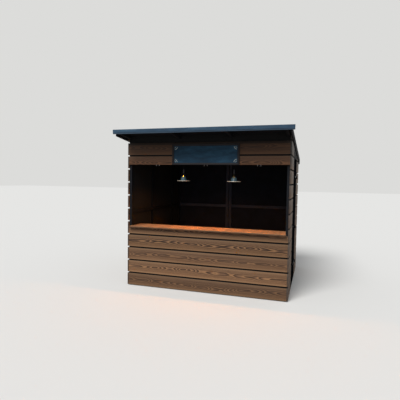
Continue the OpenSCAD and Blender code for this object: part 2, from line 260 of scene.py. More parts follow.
def dress(piece, body, material, nodes=()):
    """Gives a finished piece its body and its finish, and hides the frame nodes it stands for."""
    piece.data.materials.clear()
    piece.data.materials.append(material)
    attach(piece, body)
    if nodes:
        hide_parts(*nodes)
    return piece


def linear(code):
    """The linear colour of an sRGB hex value."""
    shares = [int(code[i:i + 2], 16) / 255 for i in (1, 3, 5)]
    return tuple(s / 12.92 if s <= 0.04045 else ((s + 0.055) / 1.055) ** 2.4 for s in shares) + (1.0,)


def add(tree, kind, settings=None, links=None):
    """Adds a node, gives it its settings and links its inputs to other nodes or their outputs."""
    made = tree.nodes.new("ShaderNode" + kind)
    for name, value in (settings or {}).items():
        if isinstance(name, str) and hasattr(made, name):
            setattr(made, name, value)
        else:
            made.inputs[name].default_value = value
    for name, source in (links or {}).items():
        output = source.outputs[0] if isinstance(source, bpy.types.Node) else source
        tree.links.new(output, made.inputs[name])
    return made


def new_material(name):
    """An empty material and its node tree."""
    material = bpy.data.materials.new(name)
    material.use_nodes = True
    material.node_tree.nodes.clear()
    return material, material.node_tree


def surface(tree, settings, links=None):
    """The shader of a material, with its output."""
    shader = add(tree, "BsdfPrincipled", settings, links)
    add(tree, "OutputMaterial", links={"Surface": shader})


def stops(ramp, colours):
    """Sets the stops of a colour ramp from pairs of position and colour."""
    line = ramp.color_ramp.elements
    while len(line) > 1:
        line.remove(line[0])
    line[0].position = colours[0][0]
    line[0].color = linear(colours[0][1])
    for position, code in colours[1:]:
        line.new(position).color = linear(code)


def on_board(tree, first, pitch, height, seed, along_y):
    """Where each point lies on its own board, in which course, and what chance gives that course."""
    turned_to_run = {"Rotation": (0, 0, -math.pi / 2 if along_y else 0)}
    step_of_chance = 1.37
    farthest_shift = 9.1
    place = add(tree, "TexCoord")
    level = add(tree, "Mapping", turned_to_run, {"Vector": place.outputs["Object"]})
    facing = add(tree, "Mapping", turned_to_run, {"Vector": place.outputs["Normal"]})
    axes = add(tree, "SeparateXYZ", links={"Vector": level}).outputs
    faces = add(tree, "SeparateXYZ", links={"Vector": facing}).outputs
    rise = add(tree, "Math", {"operation": "SUBTRACT", 1: first}, {0: axes["Z"]})
    steps = add(tree, "Math", {"operation": "DIVIDE", 1: pitch}, {0: rise})
    course = add(tree, "Math", {"operation": "FLOOR"}, {0: steps})
    middle = add(tree, "Math", {"operation": "MULTIPLY_ADD", 1: -pitch, 2: -height / 2}, {0: course})
    across = add(tree, "Math", {"operation": "ADD"}, {0: rise, 1: middle})
    number = add(tree, "Math", {"operation": "MULTIPLY_ADD", 1: step_of_chance, 2: seed}, {0: course})
    chance = add(tree, "TexWhiteNoise", {"noise_dimensions": "1D"}, {"W": number}).outputs
    along = add(tree, "Math", {"operation": "MULTIPLY_ADD", 1: farthest_shift},
                {0: chance["Value"], 2: axes["X"]})
    local = add(tree, "CombineXYZ", links={"X": along, "Y": axes["Y"], "Z": axes["Z"]})
    shares = add(tree, "SeparateColor", links={"Color": chance["Color"]}).outputs
    return SimpleNamespace(height=height, faces=faces, course=course, across=across, number=number,
                           along=along, above_ground=axes["Z"], local=local, shares=shares)


def pine_rings(tree, board):
    """Growth rings cut by the board's face, round a pith that wanders behind it and to both sides."""
    ring = 0.0105
    pith_depth = 0.055
    pith_wander = 0.13
    sideways_wander = 0.10
    figure_length = 0.50
    sideways_length = 10 / 9
    waver = 0.006
    waver_length = 0.20
    run = add(tree, "CombineXYZ", links={"X": board.along, "Y": board.number})
    wander = add(tree, "TexNoise", {"Scale": 1 / figure_length, "Detail": 1.5, "Roughness": 0.45},
                 {"Vector": run})
    depth = add(tree, "Math",
                {"operation": "MULTIPLY_ADD", 1: pith_wander, 2: pith_depth - pith_wander / 2}, {0: wander})
    lean = add(tree, "TexNoise", {"Scale": 1 / sideways_length, "Detail": 0.0}, {"Vector": run})
    sway = add(tree, "Math",
               {"operation": "MULTIPLY_ADD", 1: sideways_wander, 2: -sideways_wander / 2}, {0: lean})
    off_centre = add(tree, "Math", {"operation": "ADD"}, {0: board.across, 1: sway})
    section = add(tree, "CombineXYZ", links={"Y": depth, "Z": off_centre})
    radius = add(tree, "VectorMath", {"operation": "LENGTH"}, {0: section})
    waver_scale = (1 / waver_length, 6 / waver_length, 9 / waver_length)
    stretched = add(tree, "Mapping", {"Scale": waver_scale}, {"Vector": board.local})
    uneven = add(tree, "TexNoise", {"Scale": 1.0, "Detail": 2.0}, {"Vector": stretched})
    wavy = add(tree, "Math", {"operation": "MULTIPLY_ADD", 1: waver},
               {0: uneven, 2: radius.outputs["Value"]})
    count = add(tree, "Math", {"operation": "DIVIDE", 1: ring}, {0: wavy})
    return add(tree, "Math", {"operation": "FRACT"}, {0: count})


def pine_threads(tree, board, width, length, detail):
    """Noise drawn out along the board, as fibres or broad streaks."""
    drawn = add(tree, "Mapping", {"Scale": (1 / length, 1 / width, 1 / width)}, {"Vector": board.local})
    return add(tree, "TexNoise", {"Scale": 1.0, "Detail": detail}, {"Vector": drawn})


def pine_grain(tree, board, growth, tones, figured):
    """The rings over the wood's ground tone, bolder in some boards and boldest in the figured course."""
    rings = add(tree, "ValToRGB", links={"Fac": growth})
    stops(rings, [(0.0, tones["light"]), (0.45, tones["mid"]), (0.85, tones["late"]), (1.0, tones["light"])])
    ground = add(tree, "ValToRGB",
                 links={"Fac": pine_threads(tree, board, width=0.028, length=10 / 9, detail=3.0)})
    stops(ground, [(0.3, tones["low"]), (0.5, tones["mid"]), (0.7, tones["high"])])
    figure = add(tree, "MapRange", {"To Min": 0.45, "To Max": 0.80}, {"Value": board.shares["Red"]})
    if figured is not None:
        bold = add(tree, "Math", {"operation": "COMPARE", 1: figured, 2: 0.5}, {0: board.course})
        figure = add(tree, "Math", {"operation": "MULTIPLY_ADD", 1: 0.6, "use_clamp": True},
                     {0: bold, 2: figure})
    return add(tree, "Mix", {"data_type": "RGBA"}, {0: figure, 6: ground, 7: rings})


def pine_edges(tree, board, grain, tones, rim):
    """Warmer tone along each board's edges, dark sawn ends, and painted shade on the edges in the grooves.
    On a rim the upright faces take painted shade in place of ends and grooves.
    """
    off_middle = add(tree, "Math", {"operation": "ABSOLUTE"}, {0: board.across})
    warm = add(tree, "MapRange",
               {"From Min": board.height * 0.30, "From Max": board.height * 0.5, "To Max": 0.45},
               {"Value": off_middle})
    edged = add(tree, "Mix", {"data_type": "RGBA", 7: linear(tones["edge"])},
                {0: warm, 6: grain.outputs[2]})
    # On a rim the upright faces take the end tone, as painted shade beside a lit top; elsewhere these are the
    # darker sawn ends
    to_end = add(tree, "Math", {"operation": "ABSOLUTE"}, {0: board.faces["Z" if rim else "X"]})
    sawn = add(tree, "MapRange",
               {"From Min": 0.8 if rim else 0.5, "From Max": 0.5 if rim else 0.8, "To Max": 0.8},
               {"Value": to_end})
    ended = add(tree, "Mix", {"data_type": "RGBA", 7: linear(tones["end"])},
                {0: sawn, 6: edged.outputs[2]})
    # The edges in the grooves are painted near black: painted shade
    to_groove = add(tree, "Math", {"operation": "ABSOLUTE"}, {0: board.faces["Z"]})
    groove_painted_shade = add(tree, "MapRange",
                    {"From Min": 0.25, "From Max": 0.55, "To Max": 0.0 if rim else 0.9},
                    {"Value": to_groove})
    return add(tree, "Mix", {"data_type": "RGBA", 7: linear(tones["groove"])},
               {0: groove_painted_shade, 6: ended.outputs[2]})


def pine_weather(tree, board, fine, lower_edge_lift, painted_shade):
    """How light the wood is: by board, by fibre, lighter towards its lower edge, and darker by painted shade
    under the eaves.
    """
    by_board = add(tree, "MapRange", {"To Min": 0.71, "To Max": 1.09}, {"Value": board.shares["Green"]})
    by_fibre = add(tree, "MapRange",
                   {"From Min": 0.3, "From Max": 0.7, "To Min": 0.88, "To Max": 1.12}, {"Value": fine})
    # Each board is made lighter towards its lower edge
    by_lower_edge = add(tree, "MapRange",
                  {"From Min": board.height * 0.02, "From Max": board.height * -0.45,
                   "To Min": 1.0, "To Max": lower_edge_lift}, {"Value": board.across})
    # Painted shade: above each height given the wood keeps only a share of its tone
    by_painted_shade = [
        add(tree, "MapRange",
            {"From Min": above - reach, "From Max": above + reach, "To Min": 1.0, "To Max": share},
            {"Value": board.above_ground})
        for above, share, reach in painted_shade
    ]
    value = by_board
    for cause in [by_fibre, by_lower_edge] + by_painted_shade:
        value = add(tree, "Math", {"operation": "MULTIPLY"}, {0: value, 1: cause})
    return value


def board_wood(name, first, pitch, height, seed, tones, along_y=False, figured=None,
               rim=False, painted_shade=(), sheen=0.35):
    """Planed and oiled thermally treated pine, in level courses.

    Slow growth rings cut flat give arches and eyes along the middle of each board and straight
    lines towards its edges. The oil leaves a dull sheen, the boards differ in tone, and their sawn
    ends stay darker. The edges in the grooves are painted dark as shade. Each board is lighter towards
    its lower edge. The figured course has the boldest rings. A rim makes the upright faces all round a
    single board darker, as painted shade, in place of ends and grooves. Each entry in the list of painted
    shade is a height over which the boards keep the share given of their tone, and its reach."""
    material, tree = new_material(name)
    board = on_board(tree, first, pitch, height, seed, along_y)
    growth = pine_rings(tree, board)
    fine = pine_threads(tree, board, width=0.0030, length=0.25, detail=2.0)
    grain = pine_grain(tree, board, growth, tones, figured)
    edged = pine_edges(tree, board, grain, tones, rim)
    weather = pine_weather(tree, board, fine, 1.1 if rim else 1.62, painted_shade)
    colour = add(tree, "HueSaturation", links={"Color": edged.outputs[2], "Value": weather})
    relief = add(tree, "Math", {"operation": "MULTIPLY_ADD", 1: 0.5}, {0: fine, 2: growth})
    bump = add(tree, "Bump", {"Strength": 0.25, "Distance": 0.0006}, {"Height": relief})
    dull = add(tree, "MapRange", {"To Min": 0.52, "To Max": 0.72}, {"Value": fine})
    surface(tree, {"IOR": 1.5, "Specular IOR Level": sheen},
            {"Base Color": colour, "Roughness": dull, "Normal": bump})
    return material


def stained_wood(name, along, deep, pale, roughness=0.62, gloss=0.5):
    """Sawn softwood under stain, which lets the grain show as a faint streak along the timber."""
    fibre = 0.004
    length = 0.35
    cloud = 1 / 3
    material, tree = new_material(name)
    place = add(tree, "TexCoord").outputs["Object"]
    scale = [1 / fibre] * 3
    scale["XYZ".index(along)] = 1 / length
    fibres = add(tree, "Mapping", {"Scale": scale}, {"Vector": place})
    fine = add(tree, "TexNoise", {"Scale": 1.0, "Detail": 3.0, "Roughness": 0.6}, {"Vector": fibres})
    wide = add(tree, "TexNoise", {"Scale": 1 / cloud, "Detail": 2.0}, {"Vector": place})
    both = add(tree, "Math", {"operation": "MULTIPLY_ADD", 1: 0.6}, {0: wide, 2: fine})
    colour = add(tree, "ValToRGB", links={"Fac": both})
    stops(colour, [(0.55, deep), (1.0, pale)])
    bump = add(tree, "Bump", {"Strength": 0.35, "Distance": 0.0008}, {"Height": fine})
    dull = add(tree, "MapRange", {"To Min": roughness - 0.08, "To Max": roughness + 0.14},
               {"Value": fine})
    surface(tree, {"IOR": 1.5, "Specular IOR Level": gloss},
            {"Base Color": colour, "Roughness": dull, "Normal": bump})
    return material


def mineral_felt(name, shades):
    """Bitumen felt with a crushed slate surface: matt, with sparkling grit, worn in patches.

    The grit is about a millimetre wide, and drawn at 7 mm so that it shows."""
    grit = 0.007
    patch = 0.30
    material, tree = new_material(name)
    place = add(tree, "TexCoord").outputs["Object"]
    specks = add(tree, "TexNoise", {"Scale": 1 / grit, "Detail": 2.0}, {"Vector": place})
    stretched = add(tree, "Mapping", {"Scale": (1 / patch, 1.6 / patch, 3 / patch)}, {"Vector": place})
    worn = add(tree, "TexNoise", {"Scale": 1.0, "Detail": 4.0, "Roughness": 0.6}, {"Vector": stretched})
    ground = add(tree, "ValToRGB", links={"Fac": worn})
    stops(ground, [(0.32, shades[0]), (0.5, shades[1]), (0.68, shades[2])])
    spread = add(tree, "MapRange",
                 {"From Min": 0.25, "From Max": 0.75, "To Min": 0.80, "To Max": 1.2}, {"Value": specks})
    colour = add(tree, "HueSaturation", links={"Color": ground, "Value": spread})
    bump = add(tree, "Bump", {"Strength": 0.5, "Distance": 0.0012}, {"Height": specks})
    surface(tree, {"IOR": 1.5, "Roughness": 0.85}, {"Base Color": colour, "Normal": bump})
    return material


def mottled(name, shades, size, settings, relief=0.0002):
    """A finish with soft variation between two shades over patches of the size given."""
    material, tree = new_material(name)
    place = add(tree, "TexCoord").outputs["Object"]
    cloud = add(tree, "TexNoise", {"Scale": 1 / size, "Detail": 3.0}, {"Vector": place})
    colour = add(tree, "ValToRGB", links={"Fac": cloud})
    stops(colour, [(0.35, shades[0]), (0.65, shades[1])])
    bump = add(tree, "Bump", {"Strength": 0.3, "Distance": relief}, {"Height": cloud})
    surface(tree, settings, {"Base Color": colour, "Normal": bump})
    return material


def wiped_chalkboard(name):
    """Blackboard paint, dead matt, with a haze of wiped chalk in long sweeps.

    The paint's grain, finer than half a millimetre, is drawn at 4 mm so that it shows."""
    sweep_length = 1 / 3
    grain = 1 / 260
    material, tree = new_material(name)
    place = add(tree, "TexCoord").outputs["Object"]
    sweep = add(tree, "Mapping",
                {"Scale": (1 / sweep_length, 1.0, 3 / sweep_length), "Rotation": (0, 0.25, 0)},
                {"Vector": place})
    haze = add(tree, "TexNoise", {"Scale": 1.0, "Detail": 4.0, "Roughness": 0.65}, {"Vector": sweep})
    dust = add(tree, "TexNoise", {"Scale": 1 / grain, "Detail": 2.0}, {"Vector": place})
    both = add(tree, "Math", {"operation": "MULTIPLY_ADD", 1: 0.25}, {0: dust, 2: haze})
    colour = add(tree, "ValToRGB", links={"Fac": both})
    stops(colour, [(0.42, "#112c3f"), (0.62, "#183c53"), (0.85, "#2a5570")])
    bump = add(tree, "Bump", {"Strength": 0.2, "Distance": 0.0002}, {"Height": dust})
    surface(tree, {"IOR": 1.5, "Roughness": 0.88}, {"Base Color": colour, "Normal": bump})
    return material


def chalk_mark(name):
    """Chalk drawn on the board: pale dust that skips over the grain of the paint."""
    grain = 1 / 420
    material, tree = new_material(name)
    place = add(tree, "TexCoord").outputs["Object"]
    dust = add(tree, "TexNoise", {"Scale": 1 / grain, "Detail": 2.0}, {"Vector": place})
    colour = add(tree, "ValToRGB", links={"Fac": dust})
    stops(colour, [(0.32, "#4a5a62"), (0.5, "#a9b4b4"), (0.7, "#dde2dd")])
    surface(tree, {"IOR": 1.5, "Roughness": 0.95}, {"Base Color": colour})
    return material


def lit_glass(name):
    """A frosted bulb that glows warm."""
    material, tree = new_material(name)
    surface(tree, {"Base Color": linear("#f2d2a4"), "Roughness": 0.3, "IOR": 1.5,
                   "Emission Color": linear("#ff9c28"), "Emission Strength": 900.0})
    return material


def screw_head(name):
    """A flat screw head with a round drive recess, facing the front."""
    clear_selection()
    bpy.ops.mesh.primitive_cylinder_add(vertices=12, radius=SCREW_HEAD, depth=SCREW_HEAD_T,
                                        location=(0, SCREW_HEAD_T / 2, 0), rotation=(math.pi / 2, 0, 0))
    head = bpy.context.object
    head.name = name
    bpy.ops.object.transform_apply(location=True, rotation=True, scale=True)
    pick(head, "FACE", lambda centre, normal: normal.y < -0.9)
    bpy.ops.mesh.inset(thickness=SCREW_RIM)
    bpy.ops.mesh.extrude_region_move(TRANSFORM_OT_translate={"value": (0, SCREW_RECESS, 0)})
    bpy.ops.object.mode_set(mode="OBJECT")
    return head


def screws(name, wall, boards, posts, outward):
    """Two screws where each board crosses each post, set from outside into the wall's face."""
    head = screw_head("screw")
    outward = Vector(outward)
    turn(head, math.atan2(outward.x, -outward.y), "Z", (0, 0, 0))
    along = 0 if outward.y else 1
    heads = []
    for low, high in boards:
        face = high if outward.x + outward.y > 0 else low
        heights = [low.z + SCREW_FROM_EDGE, high.z - SCREW_FROM_EDGE]
        if high.z - low.z < 3 * SCREW_FROM_EDGE:
            heights = [(low.z + high.z) / 2]
        for post_low, post_high in posts:
            middle = (post_low[along] + post_high[along]) / 2
            if not low[along] < middle < high[along]:
                continue
            for height in heights:
                start = outward * WELL_OUTSIDE
                start[along] = middle
                start.z = height
                hit, place, _, _ = wall.ray_cast(start, -outward)
                if hit and abs((place - face).dot(outward)) < 10 * TOUCH:
                    heads.append(copy_of(head, "screw", place + outward * SCREW_PROUD))
    bpy.data.objects.remove(head)
    return joined(heads, name)


def planks(name, low, high, across, count, joint, ease):
    """Planks side by side between two corners, modelled once and copied."""
    low, high = Vector(low), Vector(high)
    width = (high[across] - low[across] + joint) / count
    first_high = high.copy()
    first_high[across] = low[across] + width - joint
    first = round_edges(bar("plank", low, first_high), ease, 1)
    parts = [first]
    for i in range(1, count):
        step = Vector((0, 0, 0))
        step[across] = i * width
        parts.append(copy_of(first, "plank", step))
    return joined(parts, name)


def close_up(piece):
    """Turns all faces of a mesh the same way, outwards where it is closed."""
    activate(piece)
    bpy.ops.object.mode_set(mode="EDIT")
    bpy.ops.mesh.select_all(action="SELECT")
    bpy.ops.mesh.normals_make_consistent(inside=False)
    bpy.ops.object.mode_set(mode="OBJECT")


def thicken(piece, thickness, offset):
    """Gives a thin sheet its thickness, below its faces at offset -1 and above them at 1."""
    body = piece.modifiers.new("thickness", "SOLIDIFY")
    body.thickness = thickness
    body.offset = offset
    activate(piece)
    bpy.ops.object.modifier_apply(modifier=body.name)


def folded_sheet(name, x_low, x_high, path, thickness):
    """A sheet that follows a path of depth and height, drawn out from one strip, then thickened."""
    places = [Vector((0, y, z)) for y, z in path]
    first = places[1] - places[0]
    middle = Vector(((x_low + x_high) / 2, 0, 0)) + (places[0] + places[1]) / 2
    clear_selection()
    bpy.ops.mesh.primitive_plane_add(size=1, location=middle,
                                     rotation=(math.atan2(first.z, first.y), 0, 0))
    sheet = bpy.context.object
    sheet.name = name
    sheet.scale = (x_high - x_low, first.length, 1)
    bpy.ops.object.transform_apply(location=True, rotation=True, scale=True)
    for start, end in zip(places[1:], places[2:]):
        pick(sheet, "EDGE", lambda a, b: all((Vector((0, p.y, p.z)) - start).length < TOUCH for p in (a, b)))
        bpy.ops.mesh.extrude_region_move(TRANSFORM_OT_translate={"value": end - start})
        bpy.ops.object.mode_set(mode="OBJECT")
    close_up(sheet)
    if sum(face.normal.z for face in sheet.data.polygons) < 0:
        sheet.data.flip_normals()
    thicken(sheet, thickness, -1)
    return sheet


def turned(name, centre, profile, sides=32, closed_start=False, closed_end=False):
    """A round piece drawn up ring by ring from a circle, through pairs of radius and height."""
    centre = Vector(centre)
    radius, height = profile[0]
    clear_selection()
    bpy.ops.mesh.primitive_circle_add(vertices=sides, radius=radius, location=centre + Vector((0, 0, height)),
                                      fill_type="NGON" if closed_start else "NOTHING")
    piece = bpy.context.object
    piece.name = name
    bpy.ops.object.transform_apply(location=True, rotation=True, scale=True)
    bpy.ops.object.mode_set(mode="EDIT")
    bpy.ops.mesh.select_mode(type="EDGE")
    bpy.ops.mesh.select_all(action="SELECT")
    for next_radius, next_height in profile[1:]:
        rise = (0, 0, next_height - height)
        place = centre + Vector((0, 0, next_height))
        bpy.ops.mesh.extrude_region_move(TRANSFORM_OT_translate={"value": rise})
        share = next_radius / radius
        bpy.ops.transform.resize(value=(share, share, 1), center_override=place)
        radius, height = next_radius, next_height
    if closed_end and not closed_start:
        bpy.ops.mesh.edge_face_add()
    bpy.ops.object.mode_set(mode="OBJECT")
    close_up(piece)
    return piece


def arc_mark(name, centre, radius, width, start, end, depth):
    """A drawn stroke along part of a circle that faces the front."""
    centre = Vector(centre)
    clear_selection()
    bpy.ops.mesh.primitive_circle_add(vertices=48, radius=radius, location=centre,
                                      rotation=(math.pi / 2, 0, 0))
    mark = bpy.context.object
    mark.name = name
    bpy.ops.object.transform_apply(location=True, rotation=True, scale=True)

    def outside(place):
        angle = math.degrees(math.atan2(place.z - centre.z, place.x - centre.x)) % 360
        return not start <= angle <= end

    pick(mark, "VERT", outside)
    bpy.ops.mesh.delete(type="VERT")
    bpy.ops.mesh.select_mode(type="EDGE")
    bpy.ops.mesh.select_all(action="SELECT")
    bpy.ops.mesh.extrude_region_move()
    share = (radius + width) / radius
    bpy.ops.transform.resize(value=(share, 1, share), center_override=centre)
    bpy.ops.object.mode_set(mode="OBJECT")
    close_up(mark)
    if sum(face.normal.y for face in mark.data.polygons) > 0:
        mark.data.flip_normals()
    thicken(mark, depth, 1)
    return mark


def fall_of(node):
    """How much a sloping frame node falls for each metre towards the rear."""
    low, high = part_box(node)
    places = [vertex.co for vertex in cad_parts[node].data.vertices]
    front = min(place.z for place in places if place.y < low.y + TOUCH)
    rear = min(place.z for place in places if place.y > high.y - TOUCH)
    return (front - rear) / (high.y - low.y)


# The courses of the cladding, read from the boards under the counter
lower_boards = solids("front_lower_boards")
course_low = lower_boards[0][0].z
course_height = lower_boards[0][1].z - course_low
course_pitch = lower_boards[1][0].z - course_low
courses = (course_low, course_pitch, course_height)
half_groove = (course_pitch - course_height) / 2
band_low, band_high = solids("front_upper_boards")[-1]
counter_low, counter_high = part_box("counter_board")

# Tones of the pine: full brown on the front; on the band a copy matched to it in the eaves' shade, which is
# painted shade; on the side a greyer copy, painted sky sheen; and a golden oil finish on the counter, made
# more orange as painted lamplight
PINE = {"light": "#a27852", "mid": "#654a37", "late": "#241710", "low": "#463123", "high": "#7a5c44",
        "edge": "#967555", "end": "#2c211a", "groove": "#120e0d"}
# The band's tones, a copy of the pine matched to it in the eaves' shade: painted shade
SHADED_BAND_PINE = {"light": "#8c6144", "mid": "#64452f", "late": "#2c1d15", "low": "#4c3424", "high": "#78553d",
             "edge": "#7d5f48", "end": "#241a15", "groove": "#120e0d"}
# The side's tones, a greyer copy of the pine whose grey stands in for the sky's sheen: painted reflection
SIDE_PINE_PAINTED_SHEEN = {"light": "#96714f", "mid": "#66503f", "late": "#30221a", "low": "#4f3b2d", "high": "#755c48",
             "edge": "#84684f", "end": "#2a201a", "groove": "#120e0d"}
# The counter's oiled pine, golden, with more orange than the wood has to stand in for warm lamplight: partly
# painted light
OILED_TOP_PAINTED_GLOW = {"light": "#b98457", "mid": "#9f6c45", "late": "#684228", "low": "#855839", "high": "#af7b51",
             "edge": "#a97e59", "end": "#4a3728", "groove": "#120e0d"}
# The seed sets each course's tone; the courses under the counter come out darker, partly as painted shade of
# the counter
front_pine = board_wood("oiled_heat_treated_pine_front", *courses, 801.5, PINE, figured=3)
# The band is darkened further by painted shade: its top board, and most of all the strip right under the roof
band_pine = board_wood("oiled_heat_treated_pine_band", *courses, 3.0, SHADED_BAND_PINE,
                       painted_shade=((band_low.z - half_groove, BAND_SHADE_SHARE, SHARP),
                                  (band_high.z - UNDER_EAVES, EAVES_STRIP_SHADE_SHARE, SHARP)))
# The top of the side is painted darker, as painted shade under the eaves
side_pine = board_wood("oiled_heat_treated_pine_sides", *courses, 11.0, SIDE_PINE_PAINTED_SHEEN, along_y=True, sheen=0.8,
                       painted_shade=((SIDE_SHADOW, SIDE_SHADE_SHARE, SOFT),))
left_pine = board_wood("oiled_heat_treated_pine_left", *courses, 17.0, PINE, along_y=True)
rear_pine = board_wood("oiled_heat_treated_pine_rear", *courses, 23.0, PINE)
# On the counter the upright faces are painted darker, as painted shade
counter_pine = board_wood("oiled_counter_pine", counter_low.z, 1.0, counter_high.z - counter_low.z, 31.0,
                          OILED_TOP_PAINTED_GLOW, rim=True)

# Black stain on sawn pine: flat and nearly black, streaked along each timber. On the rear wall a lighter,
# bluer copy stands in for what light comes in through the opening: painted light
black_level = stained_wood("black_stained_pine_level", "X", "#0d0e12", "#191a1f", 0.72, 0.2)
black_deep = stained_wood("black_stained_pine_deep", "Y", "#0d0e12", "#191a1f", 0.72, 0.2)
black_upright = stained_wood("black_stained_pine_upright", "Z", "#0c0e13", "#171a20", 0.72, 0.2)
door_stain = stained_wood("black_stained_door_pine", "Z", "#08090c", "#101216", 0.85, 0.0)
ledge_stain = stained_wood("black_stained_ledges", "Y", "#08090c", "#101216", 0.85, 0.0)
rear_posts_painted_light = stained_wood("black_stained_posts_painted_light", "Z", "#414450", "#5b5e6c", 0.8, 0.1)
rear_rails_painted_light = stained_wood("black_stained_rails_painted_light", "X", "#414450", "#5b5e6c", 0.8, 0.1)
sign_stain = stained_wood("dark_stained_sign_strip", "X", "#171518", "#272326", 0.6, 0.3)

# Bare pine of the floor, planed or sawn, and the fascia's thin blue-grey paint, through which the grain shows
floor_pine = stained_wood("planed_floor_pine", "X", "#5c4a38", "#826a52", 0.6)
bearer_pine = stained_wood("sawn_bearer_pine", "Y", "#5c4a38", "#7c664f", 0.7)
fascia_paint = stained_wood("grey_painted_pine", "X", "#33475a", "#45586a", 0.6, 0.3)

felt = mineral_felt("slate_mineral_felt", ("#1e374c", "#29445a", "#36556b"))
chalkboard = wiped_chalkboard("blackboard_paint")
chalk = chalk_mark("white_chalk")

# Woven plastic membrane behind the boards: soft black with no shine, and on the rear wall a lighter copy as
# painted light
MATT = {"IOR": 1.5, "Roughness": 0.9}
lining = mottled("black_wall_membrane", ("#050507", "#08080b"), 0.20, MATT)
rear_membrane_painted_light = mottled("black_wall_membrane_painted_light", ("#11141f", "#191d2b"), 0.20, MATT)

# Metals: iron blackened at the forge, rough and dark; bright zinc, pale and half dull; brownish black zinc
iron = mottled("black_forged_iron", ("#1c1c1e", "#303033"), 0.006, {"Metallic": 1.0, "Roughness": 0.5},
               relief=0.0004)
zinc = mottled("zinc_plated_steel", ("#c4c6c8", "#dcdee0"), 0.01, {"Metallic": 0.4, "Roughness": 0.5})
dark_zinc = mottled("black_zinc_screws", ("#3a3632", "#57514a"), 0.002, {"Metallic": 1.0, "Roughness": 0.45})

# Enamel fired on pressed steel, smooth and glossy, over moulded phenolic resin with a faint shine and a
# satin lacquered pipe
enamel = mottled("grey_vitreous_enamel", ("#5b7680", "#6b8995"), 0.05, {"IOR": 1.5, "Roughness": 0.25})
white_enamel = mottled("cream_vitreous_enamel", ("#e8d6bc", "#f3e4cd"), 0.05, {"IOR": 1.5, "Roughness": 0.2})
phenolic = mottled("black_phenolic_resin", ("#08090b", "#101114"), 0.02,
                   {"IOR": 1.55, "Roughness": 0.5, "Specular IOR Level": 0.2})
grey_pipe = mottled("grey_lacquered_pipe", ("#3a383b", "#47454a"), 0.02, {"IOR": 1.5, "Roughness": 0.55})
bulb_glass = lit_glass("warm_bulb_glass")


def clad_walls():
    """Facing boards with eased edges, and the screws that hold them to the posts."""
    frame_low, frame_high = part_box("counter_frame")
    stud_x = (frame_high.x - frame_low.x) / 6
    studs = [(Vector((x, 0, 0)), Vector((x, 0, 0))) for x in (-stud_x, stud_x)]
    left_posts = solids("left_wall_posts")
    right_post = solids("front_right_post")
    rear_posts = solids("rear_wall_posts")
    front_lines = [left_posts[0], right_post[0]] + studs
    walls = [
        ("front_lower_boards", front_pine, front_lines, (0, -1, 0)),
        ("front_upper_boards", band_pine, front_lines, (0, -1, 0)),
        ("left_boards", left_pine, left_posts, (-1, 0, 0)),
        ("rear_boards", rear_pine, [left_posts[-1]] + rear_posts, (0, 1, 0)),
        ("right_front_boards", side_pine, right_post + [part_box("door_front_jamb")], (1, 0, 0)),
        ("right_rear_boards", side_pine, [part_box("door_rear_jamb")] + rear_posts, (1, 0, 0)),
    ]
    for node, material, posts, outward in walls:
        boards = solids(node)
        piece = round_edges(merged_copy(node, node + "_eased"), BOARD_EASE)
        heads = screws(node + "_screws", piece, boards, posts, outward)
        dress(smooth(piece), "hut", material, [node])
        dress(smooth(heads), "hut", dark_zinc)


def ease_timbers():
    """Frame timbers, fascias and counter with eased edges, each in the stain of its direction."""
    black = {
        "left_wall_posts": black_upright, "front_right_post": black_upright, "rear_wall_posts": rear_posts_painted_light,
        "front_head_rails": black_level, "counter_frame": black_level, "left_wall_rails": black_deep,
        "rear_wall_rails": rear_rails_painted_light, "right_top_plate": black_deep, "door_front_jamb": black_upright,
        "door_rear_jamb": black_upright, "door_head": black_deep, "rafters": black_deep,
        "rear_fascia": black_level, "left_verge_board": black_deep, "right_verge_board": black_deep,
    }
    timbers = [(node, material, "black_timber") for node, material in black.items()]
    timbers.append(("front_fascia", fascia_paint, "fascia_board"))
    timbers.append(("floor_bearers", bearer_pine, "floor_timber"))
    for node, material, slot in timbers:
        piece = round_edges(merged_copy(node, node + "_eased"), TIMBER_EASE)
        dress(smooth(piece), "hut", material, [node])
    counter = round_edges(merged_copy("counter_board", "counter_board_eased"), COUNTER_EASE, 3)
    dress(smooth(counter), "hut", counter_pine, ["counter_board"])


def lay_floor_planks():
    """Floor planks in place of the plain deck slab."""
    low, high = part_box("floor_deck")
    count = round((high.y - low.y) / FLOOR_PLANK)
    floor = planks("floor_planks", low, high, 1, count, FLOOR_JOINT, FLOOR_EASE)
    dress(smooth(floor), "hut", floor_pine, ["floor_deck"])


def lay_roof_planks():
    """Roof planks in place of the sloping slab, laid level from its front foot and turned to the fall."""
    low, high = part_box("roof_deck")
    fall = fall_of("roof_deck")
    slant = math.atan(fall)
    drop = fall * (high.y - low.y)
    thickness = (high.z - low.z - drop) * math.cos(slant)
    length = (high.y - low.y) / math.cos(slant) - thickness * math.tan(slant)
    start = Vector((low.x, low.y, low.z + drop))
    end = Vector((high.x, low.y + length, start.z + thickness))
    roof = planks("roof_planks", start, end, 1, round(length / ROOF_PLANK), ROOF_JOINT, ROOF_EASE)
    turn(roof, -slant, "X", (0, start.y, start.z))
    dress(smooth(roof), "hut", black_level, ["roof_deck"])


def foot_of_fold():
    """Height of the felt's lower edge on the fascia."""
    low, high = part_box("roof_felt")
    places = [vertex.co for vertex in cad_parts["roof_felt"].data.vertices]
    return min(place.z for place in places if place.y < low.y + TOUCH)


